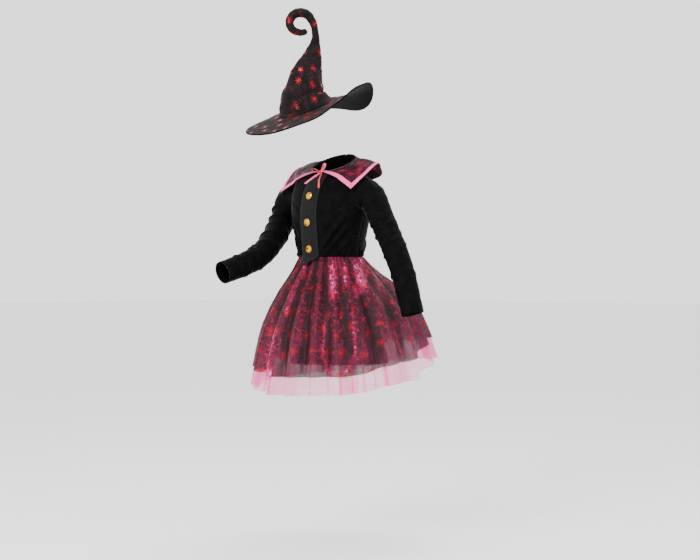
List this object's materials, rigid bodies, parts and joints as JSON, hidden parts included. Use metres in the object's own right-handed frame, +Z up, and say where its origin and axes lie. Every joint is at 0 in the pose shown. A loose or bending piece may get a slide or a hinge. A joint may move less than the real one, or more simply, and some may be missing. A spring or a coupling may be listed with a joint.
{
  "type": "witch costume",
  "caption": "Child's witch costume as worn: black velvet bodice with cape collar and long sleeves, flared foil mesh skirt over pink tulle and black lining, curled pointed hat",
  "frame": {"origin": "middle of the neck opening on the shoulder line, where the wearer's shoulders carry the dress", "axes": "+Z up, -Y out of the front of the dress, +X towards the wearer's left"},
  "size_m": [0.5563, 0.6006, 1.0808],
  "materials": {
    "black_velvet": "short pile velvet, soft grey sheen",
    "charcoal_suiting": "plain weave, matte",
    "gilt_button": "domed, polished gilt",
    "foil_mesh_collar": "black mesh printed with pink foil",
    "pink_picot": "pink picot edging",
    "satin_ribbon": "red satin ribbon",
    "foil_mesh_skirt": "sheer black mesh printed with pink and red foil",
    "pink_tulle": "stiff sheer tulle",
    "black_lining": "black satin lining",
    "foil_print_felt": "stiff black cloth printed with red foil"
  },
  "bodies": {
    "root": {"bodice_front_left": "black_velvet", "bodice_front_right": "black_velvet", "bodice_back": "black_velvet", "front_panel": "charcoal_suiting", "button_top": "gilt_button", "button_middle": "gilt_button", "button_bottom": "gilt_button", "sleeve_left": "black_velvet", "sleeve_right": "black_velvet", "collar_left": "foil_mesh_collar", "collar_right": "foil_mesh_collar", "trim_left": "pink_picot", "trim_right": "pink_picot", "bow_knot": "satin_ribbon", "bow_loop_left": "satin_ribbon", "bow_loop_right": "satin_ribbon", "bow_tail_left": "satin_ribbon", "bow_tail_right": "satin_ribbon", "skirt_mesh": "foil_mesh_skirt", "skirt_tulle": "pink_tulle", "skirt_lining": "black_lining", "hat_crown": "foil_print_felt", "hat_brim": "foil_print_felt"}
  },
  "joints": []
}
